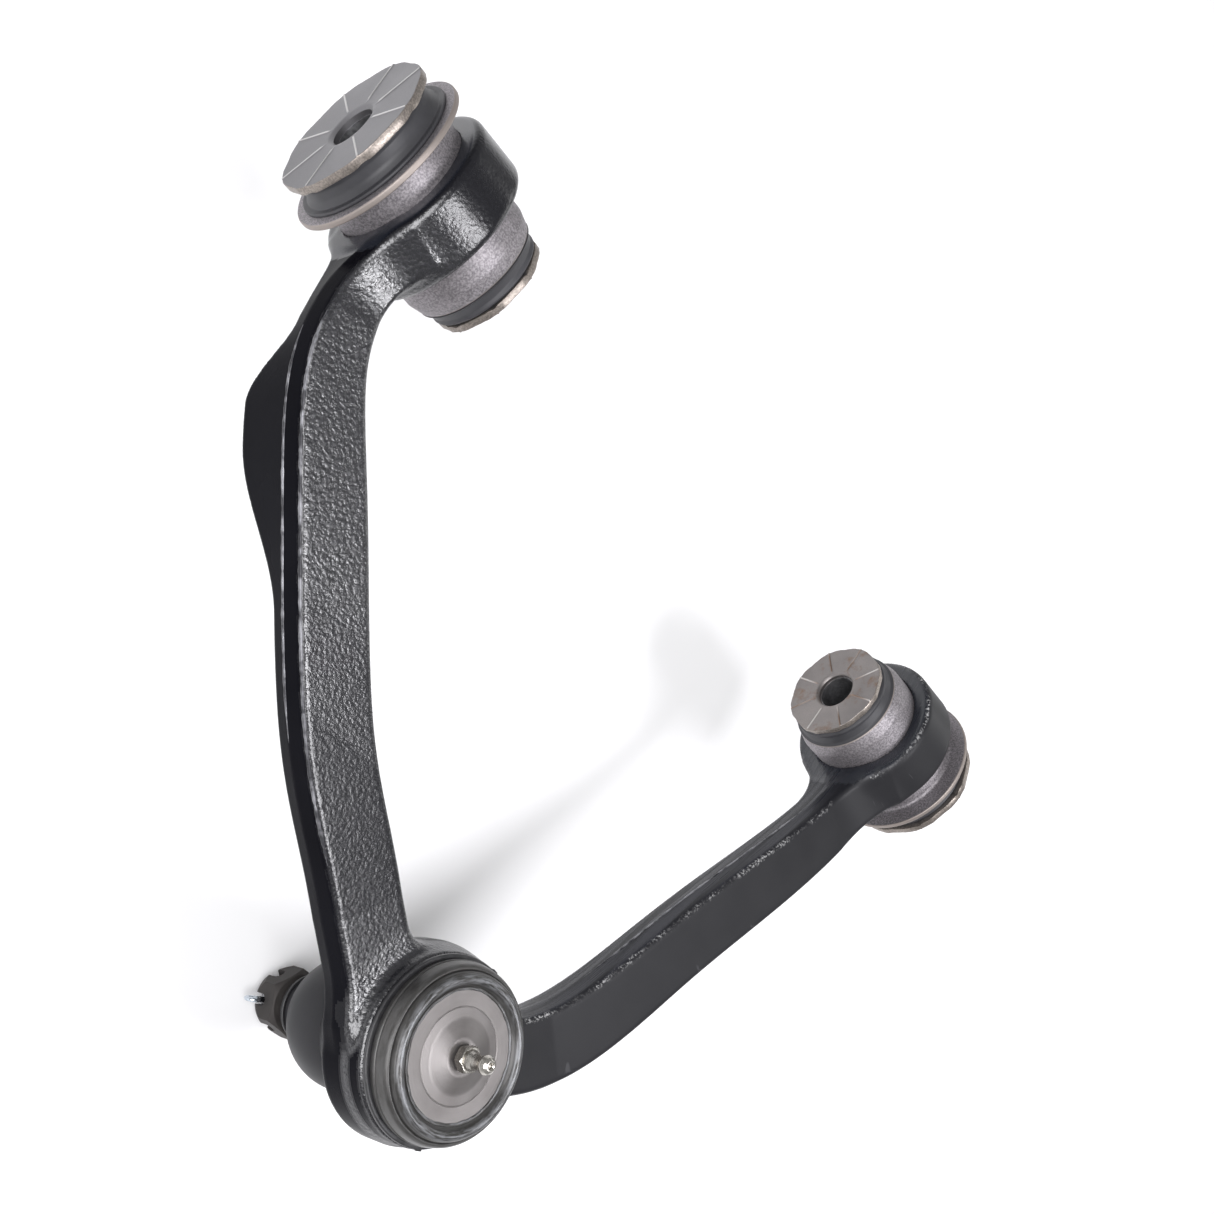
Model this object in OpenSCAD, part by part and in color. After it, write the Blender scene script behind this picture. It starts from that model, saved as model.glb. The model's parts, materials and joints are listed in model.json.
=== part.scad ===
// Front upper suspension control arm: a forged two-legged arm, two flanged
// rubber pivot bushings and a greasable ball joint.
// X runs along the pivot axis towards the front bushing, Y runs from the pivot
// to the ball joint, and Z points up to the ball joint's cap. The origin is on
// the pivot axis, midway between the bushings. Millimetres.

/* [Layout] */
// Distance between the centres of the two pivot bushings
pivot_span = 302; // [294:1:310]
// Distance from the pivot axis to the ball joint's axis
ball_reach = 209; // [205:1:213]
// How far the ball joint sits behind the middle of the arm
ball_offset = 16.5; // [13:0.5:20]

/* [Forged arm] */
// Radius of the two eyes that hold the bushings
eye_r = 30.8; // [29.5:0.1:32]
// Width of each eye along the pivot axis
eye_w = 22; // [18:1:24]
// Height of a leg, top face to bottom face
leg_h = 16.5; // [14:0.5:18]
// Width of a leg's neck, next to its eye
neck_w = 18; // [16:0.5:20]
// Width of the front leg
front_leg_w = 26; // [24:0.5:28]
// Width of the rear leg
rear_leg_w = 24.5; // [22:0.5:26]
// Depth of the stop pad under the front leg
pad_depth = 17.5; // [10:0.5:19]
// Radius of the boss around the ball joint
boss_r = 32.7; // [32.5:0.1:34]

/* [Bushings] */
// Overall length of a bushing, over the end plates' ridges
bushing_len = 70; // [68:1:72]
// Radius of the bolt bore
bolt_bore_r = 7.25; // [6.2:0.05:8.2]
// Radius of the outer steel shell
shell_r = 23.6; // [23:0.1:24.5]
// Radius of the shell's flange
flange_r = 31.25; // [29:0.25:33]
// Radius of the large end plate, over its corners
outer_plate_r = 27.25; // [26:0.25:28]
// Radius of the small end plate, over its corners
inner_plate_r = 20.5; // [19:0.5:20.5]
// Number of ridges on each end plate
ridge_count = 8; // [6:2:12]

/* [Ball joint] */
// Radius of the ball
ball_r = 14; // [13.8:0.1:14]
// Radius of the housing where it is pressed into the boss
housing_r = 27; // [26.5:0.1:27.5]
// Radius of the housing's rolled rim
rim_r = 29.7; // [29:0.1:31]
// Radius of the dust boot's bulb
boot_r = 23; // [22:0.5:24]
// Distance across the castle nut's flats
nut_flats = 22; // [21:1:24]
// Radius of the stud's thread
thread_r = 7; // [6:0.5:7]

/* [Hidden] */
$fn = 72;

front = 1;
rear = -1;
eye_x = pivot_span / 2;
ball_x = -ball_offset;
fit_gap = 0.05;      // radial clearance of a running fit
seat_gap = 0.02;     // radial clearance between fixed pieces
corner_r = 3;        // edge rounding of the eyes

// The legs fall from the pivot axis to the ball joint's boss.
leg_top_at_boss = -5;
fall_start_y = 50;
fall_end_y = 185;
leg_cut = 2;         // corner cut along a leg's edges
leg_draft = 1;       // how far a leg's sides stand out at half height

// Round fillets, tangent to the eye and to the leg, shape the neck between them.
neck_fillet_r = 34;
neck_reach = eye_r + neck_fillet_r;
neck_lift = leg_h / 2 + neck_fillet_r;
neck_end_y = sqrt(neck_reach * neck_reach - neck_lift * neck_lift);
neck_start_y = neck_end_y * eye_r / neck_reach;
front_leg_depth = leg_h - 1.3;
rear_leg_depth = leg_h + 0.4;
pad_start_y = 55;
pad_full_y = 73;
pad_fade_y = 82;
pad_end_y = 121;

// Heights along the ball joint's axis, from the row's origin plane.
ball_z = -8;
boss_top = -1;
boss_step = -7;
boss_bottom = -22.5;
boss_ring_r = 31.5;
flange_bottom = 0.8;
cover_z = 9.5;
rim_top = 10.6;
seat_z = 7;
washer_z = 4.7;
bearing_r = 19.4;
lip_r = 20.6;        // inner edge of the rim that is rolled over the cover
cover_r = 23.6;
housing_bottom = -27;
boot_centre_z = -47;
collar_top = -69.4;
collar_bottom = -75;
nut_top = -80;
nut_bottom = -92;
slot_depth = 6.2;
stud_end = -94.5;
pin_z = nut_bottom + 3.4;
pin_azimuth = 24;
pin_r = 1.7;
tail_r = 1.1;

// Positions along a bushing, from its centre towards its flanged end.
half_len = bushing_len / 2;
ridge_h = 0.4;
outer_plate_t = 2.9;
inner_plate_t = 2.5;
outer_plate_back = half_len - ridge_h - outer_plate_t;
inner_plate_back = half_len - ridge_h - inner_plate_t;
flange_face = 23.4;
flange_t = 2.2;
shell_wall = 1.8;
shell_end = -26;
sleeve_r = 10.5;
front_ridge_turn = 0;
rear_ridge_turn = 13;

// Control points of the legs' centre lines, seen from above. The first ones
// are placed from the eye and the last ones from the ball joint.
front_leg_path = [
    [eye_x, -20, neck_w + 2], [eye_x, 14, neck_w],
    [eye_x + 4.4, 33.4, neck_w - 6], [eye_x + 1.8, 63.5, front_leg_w - 4],
    [eye_x - 27.6, 95.3, front_leg_w], [ball_x + 92.3, ball_reach - 55.8, front_leg_w],
    [ball_x + 60, ball_reach - 35, front_leg_w], [ball_x + 17, ball_reach + 3, front_leg_w],
    [ball_x - 14, ball_reach + 31, front_leg_w - 2]
];
rear_leg_path = [
    [-eye_x - 14, -20, neck_w + 2], [-eye_x - 1, 10, neck_w],
    [-eye_x + 4.3, 43.9, rear_leg_w - 3.5], [-eye_x + 29.9, 90.7, rear_leg_w],
    [ball_x - 81.7, ball_reach - 79.2, rear_leg_w], [ball_x - 53.6, ball_reach - 17.2, rear_leg_w + 2.2],
    [ball_x - 4, ball_reach + 1, rear_leg_w - 1], [ball_x + 36, ball_reach + 6, rear_leg_w - 1]
];

function arc(centre, r, from, to, n = 8) = [
    for (i = [0:n])
        let (a = from + (to - from) * i / n)
        centre + r * [cos(a), sin(a)]
];
function ramp(x, x0, x1) = min(1, max(0, (x - x0) / (x1 - x0)));
function smooth(t) = t * t * (3 - 2 * t);

// A uniform cubic B-spline along a list of control points: x, y and width.
function spline_weights(t) =
    [pow(1 - t, 3), 3 * pow(t, 3) - 6 * t * t + 4,
     -3 * pow(t, 3) + 3 * t * t + 3 * t + 1, pow(t, 3)] / 6;
function slope_weights(t) =
    [-pow(1 - t, 2), 3 * t * t - 4 * t, -3 * t * t + 2 * t + 1, t * t] / 2;
function blend4(path, i, w) =
    w[0] * path[i] + w[1] * path[i + 1] + w[2] * path[i + 2] + w[3] * path[i + 3];
function sideways(d) = [d.y, -d.x] / norm([d.x, d.y]);

function leg_top(y) =
    leg_h / 2 + (leg_top_at_boss - leg_h / 2) * ramp(y, fall_start_y, fall_end_y);
function neck_flare(y) =
    let (d = neck_end_y - min(neck_end_y, max(y, neck_start_y)))
    neck_fillet_r - sqrt(neck_fillet_r * neck_fillet_r - d * d);
function pad_share(y) =
    smooth(ramp(y, pad_start_y, pad_full_y)) * (1 - smooth(ramp(y, pad_fade_y, pad_end_y)));

// One ring of a leg: corners cut off, sides drafted out to the parting line.
function leg_ring(at, side, w, top, bottom) =
    let (a = w / 2, c = leg_cut, middle = (top + bottom) / 2)
    [
        for (p = [
            [a, top - c], [a - c, top], [c - a, top], [-a, top - c],
            [-a - leg_draft, middle], [-a, bottom + c], [c - a, bottom],
            [a - c, bottom], [a, bottom + c], [a + leg_draft, middle]
        ])
            [at.x + side.x * p.x, at.y + side.y * p.x, p.y]
    ];

// A leg swept along its path, from inside the eye to inside the boss.
module leg(path, depth, pad, steps = 6) {
    sides = 10;
    spans = len(path) - 3;
    rings = [
        for (k = [0:spans * steps])
            let (
                i = min(spans - 1, floor(k / steps)),
                t = k / steps - i,
                at = blend4(path, i, spline_weights(t)),
                side = sideways(blend4(path, i, slope_weights(t))),
                flare = neck_flare(at.y),
                top = leg_top(at.y),
                bottom = top - depth - pad * pad_share(at.y)
            )
            leg_ring(at, side, at.z, top + flare, bottom - flare)
    ];
    last = len(rings) - 1;
    polyhedron(
        points = [for (ring = rings) each ring],
        faces = [
            [for (j = [sides - 1:-1:0]) j],
            for (k = [0:last - 1], j = [0:sides - 1])
                let (a = k * sides + j, b = k * sides + (j + 1) % sides)
                [a, b, b + sides, a + sides],
            [for (j = [0:sides - 1]) last * sides + j]
        ]
    );
}

// Places children on a bushing's axis, with +Z towards its flanged end.
module at_bushing(end) {
    translate([end * eye_x, 0, 0]) rotate([0, end * 90, 0]) children();
}

// Places children on the ball joint's axis.
module at_ball_joint() {
    translate([ball_x, ball_reach, 0]) children();
}

module eye() {
    w = eye_w / 2;
    rotate_extrude() polygon(concat(
        [[0, -w]],
        arc([eye_r - corner_r, corner_r - w], corner_r, -90, 0),
        arc([eye_r - corner_r, w - corner_r], corner_r, 0, 90),
        [[0, w]]
    ));
}

// Turned boss: a rounded body with a narrower ring on top for the housing.
module boss() {
    rotate_extrude() polygon(concat(
        [[0, boss_bottom], [boss_r - 3.5, boss_bottom]],
        arc([boss_r - 3.5, boss_bottom + 3.5], 3.5, -90, 0),
        arc([boss_r - 4.5, boss_step - 4.5], 4.5, 0, 60),
        [[boss_ring_r, boss_step]],
        arc([boss_ring_r - 1.5, boss_top - 1.5], 1.5, 0, 90),
        [[0, boss_top]]
    ));
}

module arm_forging() {
    color([0.09, 0.09, 0.1]) difference() {
        union() {
            for (end = [rear, front])
                at_bushing(end) eye();
            leg(front_leg_path, front_leg_depth, pad_depth);
            leg(rear_leg_path, rear_leg_depth, 0);
            at_ball_joint() boss();
        }
        for (end = [rear, front])
            at_bushing(end)
                cylinder(r = shell_r + seat_gap, h = pivot_span / 4, center = true);
        at_ball_joint() cylinder(r = housing_r + seat_gap, h = 90, center = true);
    }
}

// Flanged outer shell, drawn in at its inboard end.
module bushing_shell(end) {
    back = flange_face - flange_t;
    bore = shell_r - shell_wall;
    color([0.47, 0.45, 0.45]) at_bushing(end) rotate_extrude() polygon(concat(
        [[bore, shell_end + 5], [bore - 1.4, shell_end + 0.6]],
        arc([shell_r - 2.3, shell_end + 0.8], 0.8, -90, -20, 4),
        [[shell_r, shell_end + 5]],
        arc([shell_r + 1.4, back - 1.4], 1.4, 180, 90, 5),
        arc([flange_r - 0.6, back + 0.6], 0.6, -90, 0, 4),
        arc([flange_r - 0.6, flange_face - 0.6], 0.6, 0, 90, 4),
        [[bore + 2, flange_face], [bore, flange_face - 2]]
    ));
}

// Rubber between the shell and the inner sleeve, bulging out at both ends.
module bushing_rubber(end) {
    bore = shell_r - shell_wall - seat_gap;
    outer_face = outer_plate_back - 0.15;
    inner_face = 0.15 - inner_plate_back;
    color([0.13, 0.13, 0.14]) at_bushing(end) rotate_extrude() polygon(concat(
        [[sleeve_r + fit_gap, inner_face], [inner_plate_r - 0.7, inner_face],
         [inner_plate_r + 0.7, inner_face + 1], [inner_plate_r + 0.5, inner_face + 3]],
        [[shell_r - 1.8, shell_end - 0.7], [shell_r - 2.4, shell_end - 0.2],
         [bore - 1.5, shell_end + 0.6], [bore, shell_end + 5.1]],
        [[bore, flange_face - 2], [bore + 2.1, flange_face + 0.1]],
        arc([outer_plate_r, flange_face + 0.8], 0.7, -90, 80, 6),
        arc([outer_plate_r + 0.4, flange_face + 4.6], 3, 255, 145, 6),
        [[outer_plate_r - 2, outer_face], [sleeve_r + fit_gap, outer_face]]
    ));
}

module inner_sleeve(end) {
    color([0.4, 0.4, 0.42]) at_bushing(end) difference() {
        translate([0, 0, -inner_plate_back])
            cylinder(r = sleeve_r, h = inner_plate_back + outer_plate_back);
        cylinder(r = bolt_bore_r, h = bushing_len, center = true);
    }
}

// Washer with flats between its corners, a raised ridge to each corner that
// bites into the bracket, and the ridge's hollow on its back.
module end_plate(r, t, back) {
    hole_r = bolt_bore_r + 0.35;
    ridge_start = hole_r + 2.4;
    face = back + t;
    difference() {
        intersection() {
            translate([0, 0, back]) cylinder(r = r, h = t);
            translate([0, 0, back]) cylinder(r = r * 1.06, h = t, $fn = ridge_count);
        }
        translate([0, 0, back - 1]) cylinder(r = hole_r, h = t + 2);
        translate([0, 0, face - 1]) cylinder(r1 = hole_r, r2 = hole_r + 1.4, h = 1.01);
        for (k = [0:ridge_count - 1])
            rotate(k * 360 / ridge_count) translate([r - 5, 0, back])
                rotate([90, 0, 90]) linear_extrude(6)
                    polygon([[-1.3, -0.1], [0, 0.9], [1.3, -0.1]]);
    }
    for (k = [0:ridge_count - 1])
        rotate(k * 360 / ridge_count) translate([ridge_start, 0, face])
            rotate([90, 0, 90]) linear_extrude(r - ridge_start - 0.2)
                polygon([[-0.55, -0.1], [0.55, -0.1], [0.12, ridge_h], [-0.12, ridge_h]]);
}

module outer_end_plate(end, turn) {
    color([0.5, 0.5, 0.52]) at_bushing(end) rotate(turn)
        end_plate(outer_plate_r, outer_plate_t, outer_plate_back);
}

module inner_end_plate(end, turn) {
    color([0.52, 0.49, 0.47]) at_bushing(end) rotate(turn) mirror([0, 0, 1])
        end_plate(inner_plate_r, inner_plate_t, inner_plate_back);
}

// Cup pressed into the boss from above, with its rim rolled over the cover.
module ball_joint_housing() {
    color([0.36, 0.36, 0.33]) at_ball_joint() rotate_extrude() polygon(concat(
        [[12, -16], [16.5, housing_bottom], [22.5, housing_bottom],
         [22.5, boss_bottom - 1.5], [housing_r - 1, boss_bottom - 1.5],
         [housing_r, boss_bottom - 0.5], [housing_r, flange_bottom]],
        [[rim_r - 0.5, flange_bottom]],
        [[rim_r, flange_bottom + 0.6], [rim_r, 4.6]],
        arc([rim_r - 3.4, 5.2], 3.4, 5, 60, 6),
        arc([25, rim_top - 1.6], 1.6, 65, 125, 5),
        [[lip_r + 0.6, cover_z + 0.3], [lip_r, cover_z + seat_gap],
         [cover_r, cover_z + seat_gap], [cover_r, seat_z],
         [bearing_r + 0.1, seat_z], [bearing_r + 0.1, -16]]
    ));
}

// Open snap ring between the boss and the housing's rim, with a lug at each end.
module housing_retaining_ring() {
    ring_from = -100;
    ring_to = 110;
    ring_in = housing_r + 0.3;
    ring_out = boss_ring_r - 0.5;
    ring_bottom = boss_top + 0.1;
    ring_h = flange_bottom - boss_top - 0.2;
    lug_w = 2.4;
    color([0.16, 0.16, 0.17]) at_ball_joint() {
        rotate(ring_from) rotate_extrude(angle = ring_to - ring_from)
            translate([ring_in, ring_bottom]) square([ring_out - ring_in, ring_h]);
        for (a = [ring_from, ring_to])
            rotate(a) translate([ring_in + 0.7, -lug_w / 2, ring_bottom])
                cube([ring_out - ring_in + 0.8, lug_w, ring_h]);
    }
}

module cover_plate() {
    edge_r = cover_r - seat_gap;
    color([0.52, 0.5, 0.49]) at_ball_joint() rotate_extrude() polygon([
        [3.1, seat_z], [edge_r, seat_z], [edge_r, cover_z], [16, cover_z],
        [15.6, cover_z - 0.25], [15.2, cover_z], [12, cover_z + 0.35],
        [8, cover_z + 1], [5, cover_z + 1.25], [3.1, cover_z + 1.3]
    ]);
}

module preload_washer() {
    color([0.2, 0.2, 0.2]) at_ball_joint() translate([0, 0, washer_z]) difference() {
        cylinder(r = bearing_r - 0.6, h = seat_z - washer_z - 0.1);
        translate([0, 0, -1]) cylinder(r = 4, h = 4);
    }
}

// The two plastic shells that hold the ball, drawn about its centre.
module upper_bearing() {
    color([0.85, 0.83, 0.75]) at_ball_joint() translate([0, 0, ball_z])
        rotate_extrude() polygon(concat(
            [[bearing_r, 0.2]],
            arc([0, 0], ball_r + fit_gap, 1, 58, 16),
            [[2.5, ball_r - 2.1], [2.5, washer_z - ball_z - 0.1],
             [bearing_r, washer_z - ball_z - 0.1]]
        ));
}

module lower_bearing() {
    seat_angle = 34.5;
    color([0.85, 0.83, 0.75]) at_ball_joint() translate([0, 0, ball_z])
        rotate_extrude() polygon(concat(
            [[bearing_r, -0.2]],
            arc([0, 0], ball_r + fit_gap, -1, -seat_angle, 12),
            [[bearing_r, -(ball_r + fit_gap) * sin(seat_angle)]]
        ));
}

// Ball, neck, taper and thread in one turned piece, drilled for the split pin.
module ball_stud() {
    neck_r = 7.5;
    taper_big_r = 9.2;
    taper_small_r = 7.9;
    top_angle = 36;      // where the ball is cut off flat
    color([0.45, 0.46, 0.47]) at_ball_joint() difference() {
        rotate_extrude() polygon(concat(
            arc([0, ball_z], ball_r, top_angle, -56.5, 30),
            [[neck_r, ball_z - 12.5], [neck_r, -32], [taper_big_r, -50],
             [taper_big_r, -58], [taper_small_r, nut_top + 1],
             [thread_r - fit_gap, nut_top + 0.3], [thread_r - fit_gap, stud_end + 1],
             [thread_r - 1, stud_end], [0, stud_end],
             [0, ball_z + ball_r * sin(top_angle)]]
        ));
        translate([0, 0, pin_z]) rotate([0, 90, pin_azimuth])
            cylinder(r = pin_r + 0.2, h = 4 * thread_r, center = true);
    }
}

// Threaded grease nipple with a hexagon and a rounded nose.
module grease_fitting() {
    stub_r = 3;
    hex_z = cover_z + 1.35;
    hex_flats = 8;
    color([0.72, 0.7, 0.66]) at_ball_joint() difference() {
        union() {
            translate([0, 0, 5.6]) cylinder(r = stub_r, h = hex_z - 5.6);
            translate([0, 0, hex_z])
                cylinder(r = hex_flats / 2 / cos(30), h = 3.6, $fn = 6);
            rotate_extrude() polygon([
                [0, hex_z + 3.6], [3.7, hex_z + 3.6], [2.9, hex_z + 5.4],
                [2.4, hex_z + 7.6], [2.3, hex_z + 8.6], [3.1, hex_z + 10],
                [3.25, hex_z + 11], [2.7, hex_z + 12.2], [1.7, hex_z + 13.1],
                [0, hex_z + 13.1]
            ]);
        }
        translate([0, 0, 5]) cylinder(r = 0.9, h = hex_z + 9);
        translate([0, 0, hex_z + 12.2]) cylinder(r1 = 0.8, r2 = 1.35, h = 1);
    }
}

module grease_check_ball() {
    color([0.6, 0.6, 0.62]) at_ball_joint()
        translate([0, 0, cover_z + 13.1]) sphere(r = 0.85);
}

// Hollow rubber boot: a mouth on the housing's tail, a round bulb and a collar.
module dust_boot() {
    wall = 2;
    mouth_r = 24.6;
    stud_r = 9.4;
    color([0.1, 0.1, 0.11]) at_ball_joint() rotate_extrude() polygon(concat(
        [[22.6, boss_bottom - 4.6], [22.6, boss_bottom - 1.7],
         [mouth_r + 2, boss_bottom - 1.7], [mouth_r + 2, boss_bottom - 2.9],
         [mouth_r, boss_bottom - 3.4], [mouth_r, boss_bottom - 5.9],
         [mouth_r + 0.6, boss_bottom - 6.6], [boot_r + 0.4, boss_bottom - 10]],
        arc([0, boot_centre_z], boot_r, 0, -60, 16),
        [[stud_r + 1.8, collar_top], [stud_r + 1.8, collar_bottom + 1.2],
         [stud_r + 2.6, collar_bottom], [stud_r, collar_bottom],
         [stud_r, collar_top + 2.5]],
        arc([0, boot_centre_z], boot_r - wall, -60, 0, 16),
        [[boot_r - wall + 0.4, boss_bottom - 8]]
    ));
}

// Ring of round wire or flat band around the boot.
module band(z, h, r, t) {
    at_ball_joint() translate([0, 0, z]) difference() {
        cylinder(r = r + t, h = h);
        translate([0, 0, -1]) cylinder(r = r, h = h + 2);
    }
}

module boot_clamp_ring() {
    color([0.18, 0.18, 0.19]) band(boss_bottom - 5.7, 2.2, 24.65, 1);
}

module boot_collar_ring() {
    color([0.3, 0.3, 0.32]) band(collar_bottom + 1.6, 2, 11.3, 0.9);
}

// Slotted hexagon nut with both ends of its corners turned off.
module castle_nut() {
    corner = nut_flats / 2 / cos(30);
    h = nut_top - nut_bottom;
    color([0.13, 0.12, 0.12]) at_ball_joint() translate([0, 0, nut_bottom])
        difference() {
            intersection() {
                rotate(pin_azimuth + 30) cylinder(r = corner, h = h, $fn = 6);
                rotate_extrude() polygon([
                    [0, 0], [corner - 2.6, 0], [corner - 1.2, 0.7], [corner - 0.2, 2.6],
                    [corner + 0.3, 4], [corner + 0.3, h - 1], [corner - 1.1, h], [0, h]
                ]);
            }
            translate([0, 0, -1]) cylinder(r = thread_r, h = h + 2);
            for (a = [0, 60, 120])
                rotate(pin_azimuth + a) translate([-corner - 1, -2.1, -1])
                    cube([2 * corner + 2, 4.2, slot_depth + 1]);
        }
}

// Split pin: a round eye, a shank through the stud, and two tails bent apart.
module cotter_pin() {
    eye_out = nut_flats / 2 + 3.6;
    tail_out = nut_flats / 2 + 2.2;
    tail_len = 6;
    eye_bend_r = 2.3;
    eye_wire_r = 0.85;
    color([0.7, 0.75, 0.8]) at_ball_joint() translate([0, 0, pin_z])
        rotate(pin_azimuth) {
            rotate([0, 90, 0]) translate([0, 0, -tail_out])
                cylinder(r = pin_r, h = tail_out + eye_out - eye_bend_r + 0.1);
            translate([eye_out, 0, 0]) rotate([90, 0, 0]) rotate_extrude()
                translate([eye_bend_r, 0]) circle(eye_wire_r, $fn = 24);
            translate([-tail_out, 0, 0]) {
                sphere(pin_r);
                translate([0, 0, -tail_len]) cylinder(r = tail_r, h = 2 * tail_len);
            }
        }
}

arm_forging();
bushing_shell(front);  // front_bushing_shell
bushing_rubber(front);  // front_bushing_rubber
inner_sleeve(front);  // front_inner_sleeve
outer_end_plate(front, front_ridge_turn);  // front_outer_end_plate
inner_end_plate(front, front_ridge_turn);  // front_inner_end_plate
bushing_shell(rear);  // rear_bushing_shell
bushing_rubber(rear);  // rear_bushing_rubber
inner_sleeve(rear);  // rear_inner_sleeve
outer_end_plate(rear, rear_ridge_turn);  // rear_outer_end_plate
inner_end_plate(rear, rear_ridge_turn);  // rear_inner_end_plate
ball_joint_housing();
housing_retaining_ring();
cover_plate();
preload_washer();
upper_bearing();
lower_bearing();
ball_stud();
grease_fitting();
grease_check_ball();
dust_boot();
boot_clamp_ring();
boot_collar_ring();
castle_nut();
cotter_pin();
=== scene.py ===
"""The looks of a forged control arm: fine meshes, materials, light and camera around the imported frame.

Shapes are worked out in millimetres in the row frame: X along the pivot axis, Y towards the ball joint, Z up.
"""

import json
import math

import bmesh
import bpy
import numpy as np
import openvdb
from mathutils import Matrix, Vector

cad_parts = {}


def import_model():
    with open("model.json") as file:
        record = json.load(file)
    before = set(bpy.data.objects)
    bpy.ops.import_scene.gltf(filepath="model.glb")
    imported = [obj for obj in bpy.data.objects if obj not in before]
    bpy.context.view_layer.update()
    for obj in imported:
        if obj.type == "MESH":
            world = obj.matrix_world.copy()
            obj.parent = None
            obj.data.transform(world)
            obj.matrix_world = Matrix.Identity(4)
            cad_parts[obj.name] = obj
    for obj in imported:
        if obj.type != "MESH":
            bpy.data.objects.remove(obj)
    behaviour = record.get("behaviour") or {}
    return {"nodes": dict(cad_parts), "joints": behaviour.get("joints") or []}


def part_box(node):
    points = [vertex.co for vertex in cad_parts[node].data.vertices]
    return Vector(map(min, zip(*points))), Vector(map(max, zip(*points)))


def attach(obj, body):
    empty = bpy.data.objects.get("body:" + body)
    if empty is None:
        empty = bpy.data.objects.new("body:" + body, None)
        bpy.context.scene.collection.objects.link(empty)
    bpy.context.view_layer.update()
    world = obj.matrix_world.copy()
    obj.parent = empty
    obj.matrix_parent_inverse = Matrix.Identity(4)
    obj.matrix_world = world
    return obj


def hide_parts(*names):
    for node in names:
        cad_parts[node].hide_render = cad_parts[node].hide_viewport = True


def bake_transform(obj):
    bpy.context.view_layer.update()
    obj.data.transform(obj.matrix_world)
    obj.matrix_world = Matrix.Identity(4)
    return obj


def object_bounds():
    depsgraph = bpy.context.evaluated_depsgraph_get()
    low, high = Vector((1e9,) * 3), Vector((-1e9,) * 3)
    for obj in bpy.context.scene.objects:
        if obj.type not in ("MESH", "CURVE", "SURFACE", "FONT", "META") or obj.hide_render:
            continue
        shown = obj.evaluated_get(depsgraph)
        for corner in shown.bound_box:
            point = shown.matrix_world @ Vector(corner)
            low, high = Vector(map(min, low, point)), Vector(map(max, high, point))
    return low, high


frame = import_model()
cad_low, cad_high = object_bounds()

MM = 0.001
FRONT, REAR = 1, -1
JOINTS = {joint["name"]: joint for joint in frame["joints"]}
EYE_X = JOINTS["front_bushing_twist"]["pos_m"][0] / MM
BALL_X, BALL_REACH, BALL_Z = (value / MM for value in JOINTS["stud_tilt"]["pos_m"])


def size_of(node):
    """Lowest and highest corners of a CAD node, in millimetres."""
    low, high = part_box(node)
    return np.array(low) / MM, np.array(high) / MM


# ---------------- places

def at_bushing(end):
    """From a bushing's own frame, +Z towards its flanged end, to the row frame."""
    turn = Matrix.Rotation(end * math.pi / 2, 4, "Y")
    return Matrix.Translation((end * EYE_X, 0, 0)) @ turn


def at_ball_joint():
    return Matrix.Translation((BALL_X, BALL_REACH, 0))


# ---------------- meshes

def make_object(name, points, faces, place=Matrix.Identity(4), sharp=35):
    """An object from points in millimetres, smooth shaded but for edges sharper than the angle given."""
    mesh = bpy.data.meshes.new(name)
    mesh.from_pydata([tuple(p) for p in points], [], [tuple(f) for f in faces])
    mesh.transform(Matrix.Scale(MM, 4) @ place)
    work = bmesh.new()
    work.from_mesh(mesh)
    bmesh.ops.recalc_face_normals(work, faces=work.faces)
    work.to_mesh(mesh)
    work.free()
    mesh.shade_smooth()
    mesh.set_sharp_from_angle(angle=math.radians(sharp))
    obj = bpy.data.objects.new(name, mesh)
    bpy.context.scene.collection.objects.link(obj)
    return obj


def profile(*corners, steps=5):
    """A closed outline from (r, h) corners; a third number rounds that corner with its radius."""
    outline = []
    count = len(corners)
    for i, corner in enumerate(corners):
        here = np.array(corner[:2], float)
        radius = corner[2] if len(corner) > 2 else 0
        if not radius:
            outline.append(here)
            continue
        back = np.array(corners[i - 1][:2], float) - here
        on = np.array(corners[(i + 1) % count][:2], float) - here
        back_len, on_len = np.linalg.norm(back), np.linalg.norm(on)
        back, on = back / back_len, on / on_len
        half = math.acos(np.clip(back @ on, -1, 1)) / 2
        reach = min(radius / math.tan(half), 0.49 * back_len, 0.49 * on_len)
        radius = reach * math.tan(half)
        middle = back + on
        centre = here + middle / np.linalg.norm(middle) * (radius / math.sin(half))
        start, end = here + back * reach - centre, here + on * reach - centre
        sweep = math.atan2(start[0] * end[1] - start[1] * end[0], start @ end)
        for k in range(steps + 1):
            a = sweep * k / steps
            turn = np.array([[math.cos(a), -math.sin(a)], [math.sin(a), math.cos(a)]])
            outline.append(centre + turn @ start)
    return outline


def arc(centre, r, start, end, n=8):
    """Points of an arc, angles in degrees."""
    angles = np.radians(np.linspace(start, end, n + 1))
    return [(centre[0] + r * math.cos(a), centre[1] + r * math.sin(a)) for a in angles]


def ring_mesh(name, point, columns, rows, place, closed=True, sharp=35):
    """A grid of points wrapped round an axis: point(column, row) gives each one.
    Rows wrap too if closed; otherwise the first and last rows are capped."""
    points = [point(c, r) for c in range(columns) for r in range(rows)]
    faces = []
    for c in range(columns):
        d = (c + 1) % columns
        for r in range(rows if closed else rows - 1):
            s = (r + 1) % rows
            faces.append((c * rows + r, d * rows + r, d * rows + s, c * rows + s))
    if not closed:
        faces.append([c * rows for c in range(columns)])
        faces.append([c * rows + rows - 1 for c in range(columns)])
    return make_object(name, points, faces, place, sharp)


def mark(obj, name, values):
    """Stores one number per mesh point, for a material to read."""
    values = np.asarray(values, np.float32)
    obj.data.attributes.new(name, "FLOAT", "POINT").data.foreach_set("value", values)


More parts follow.
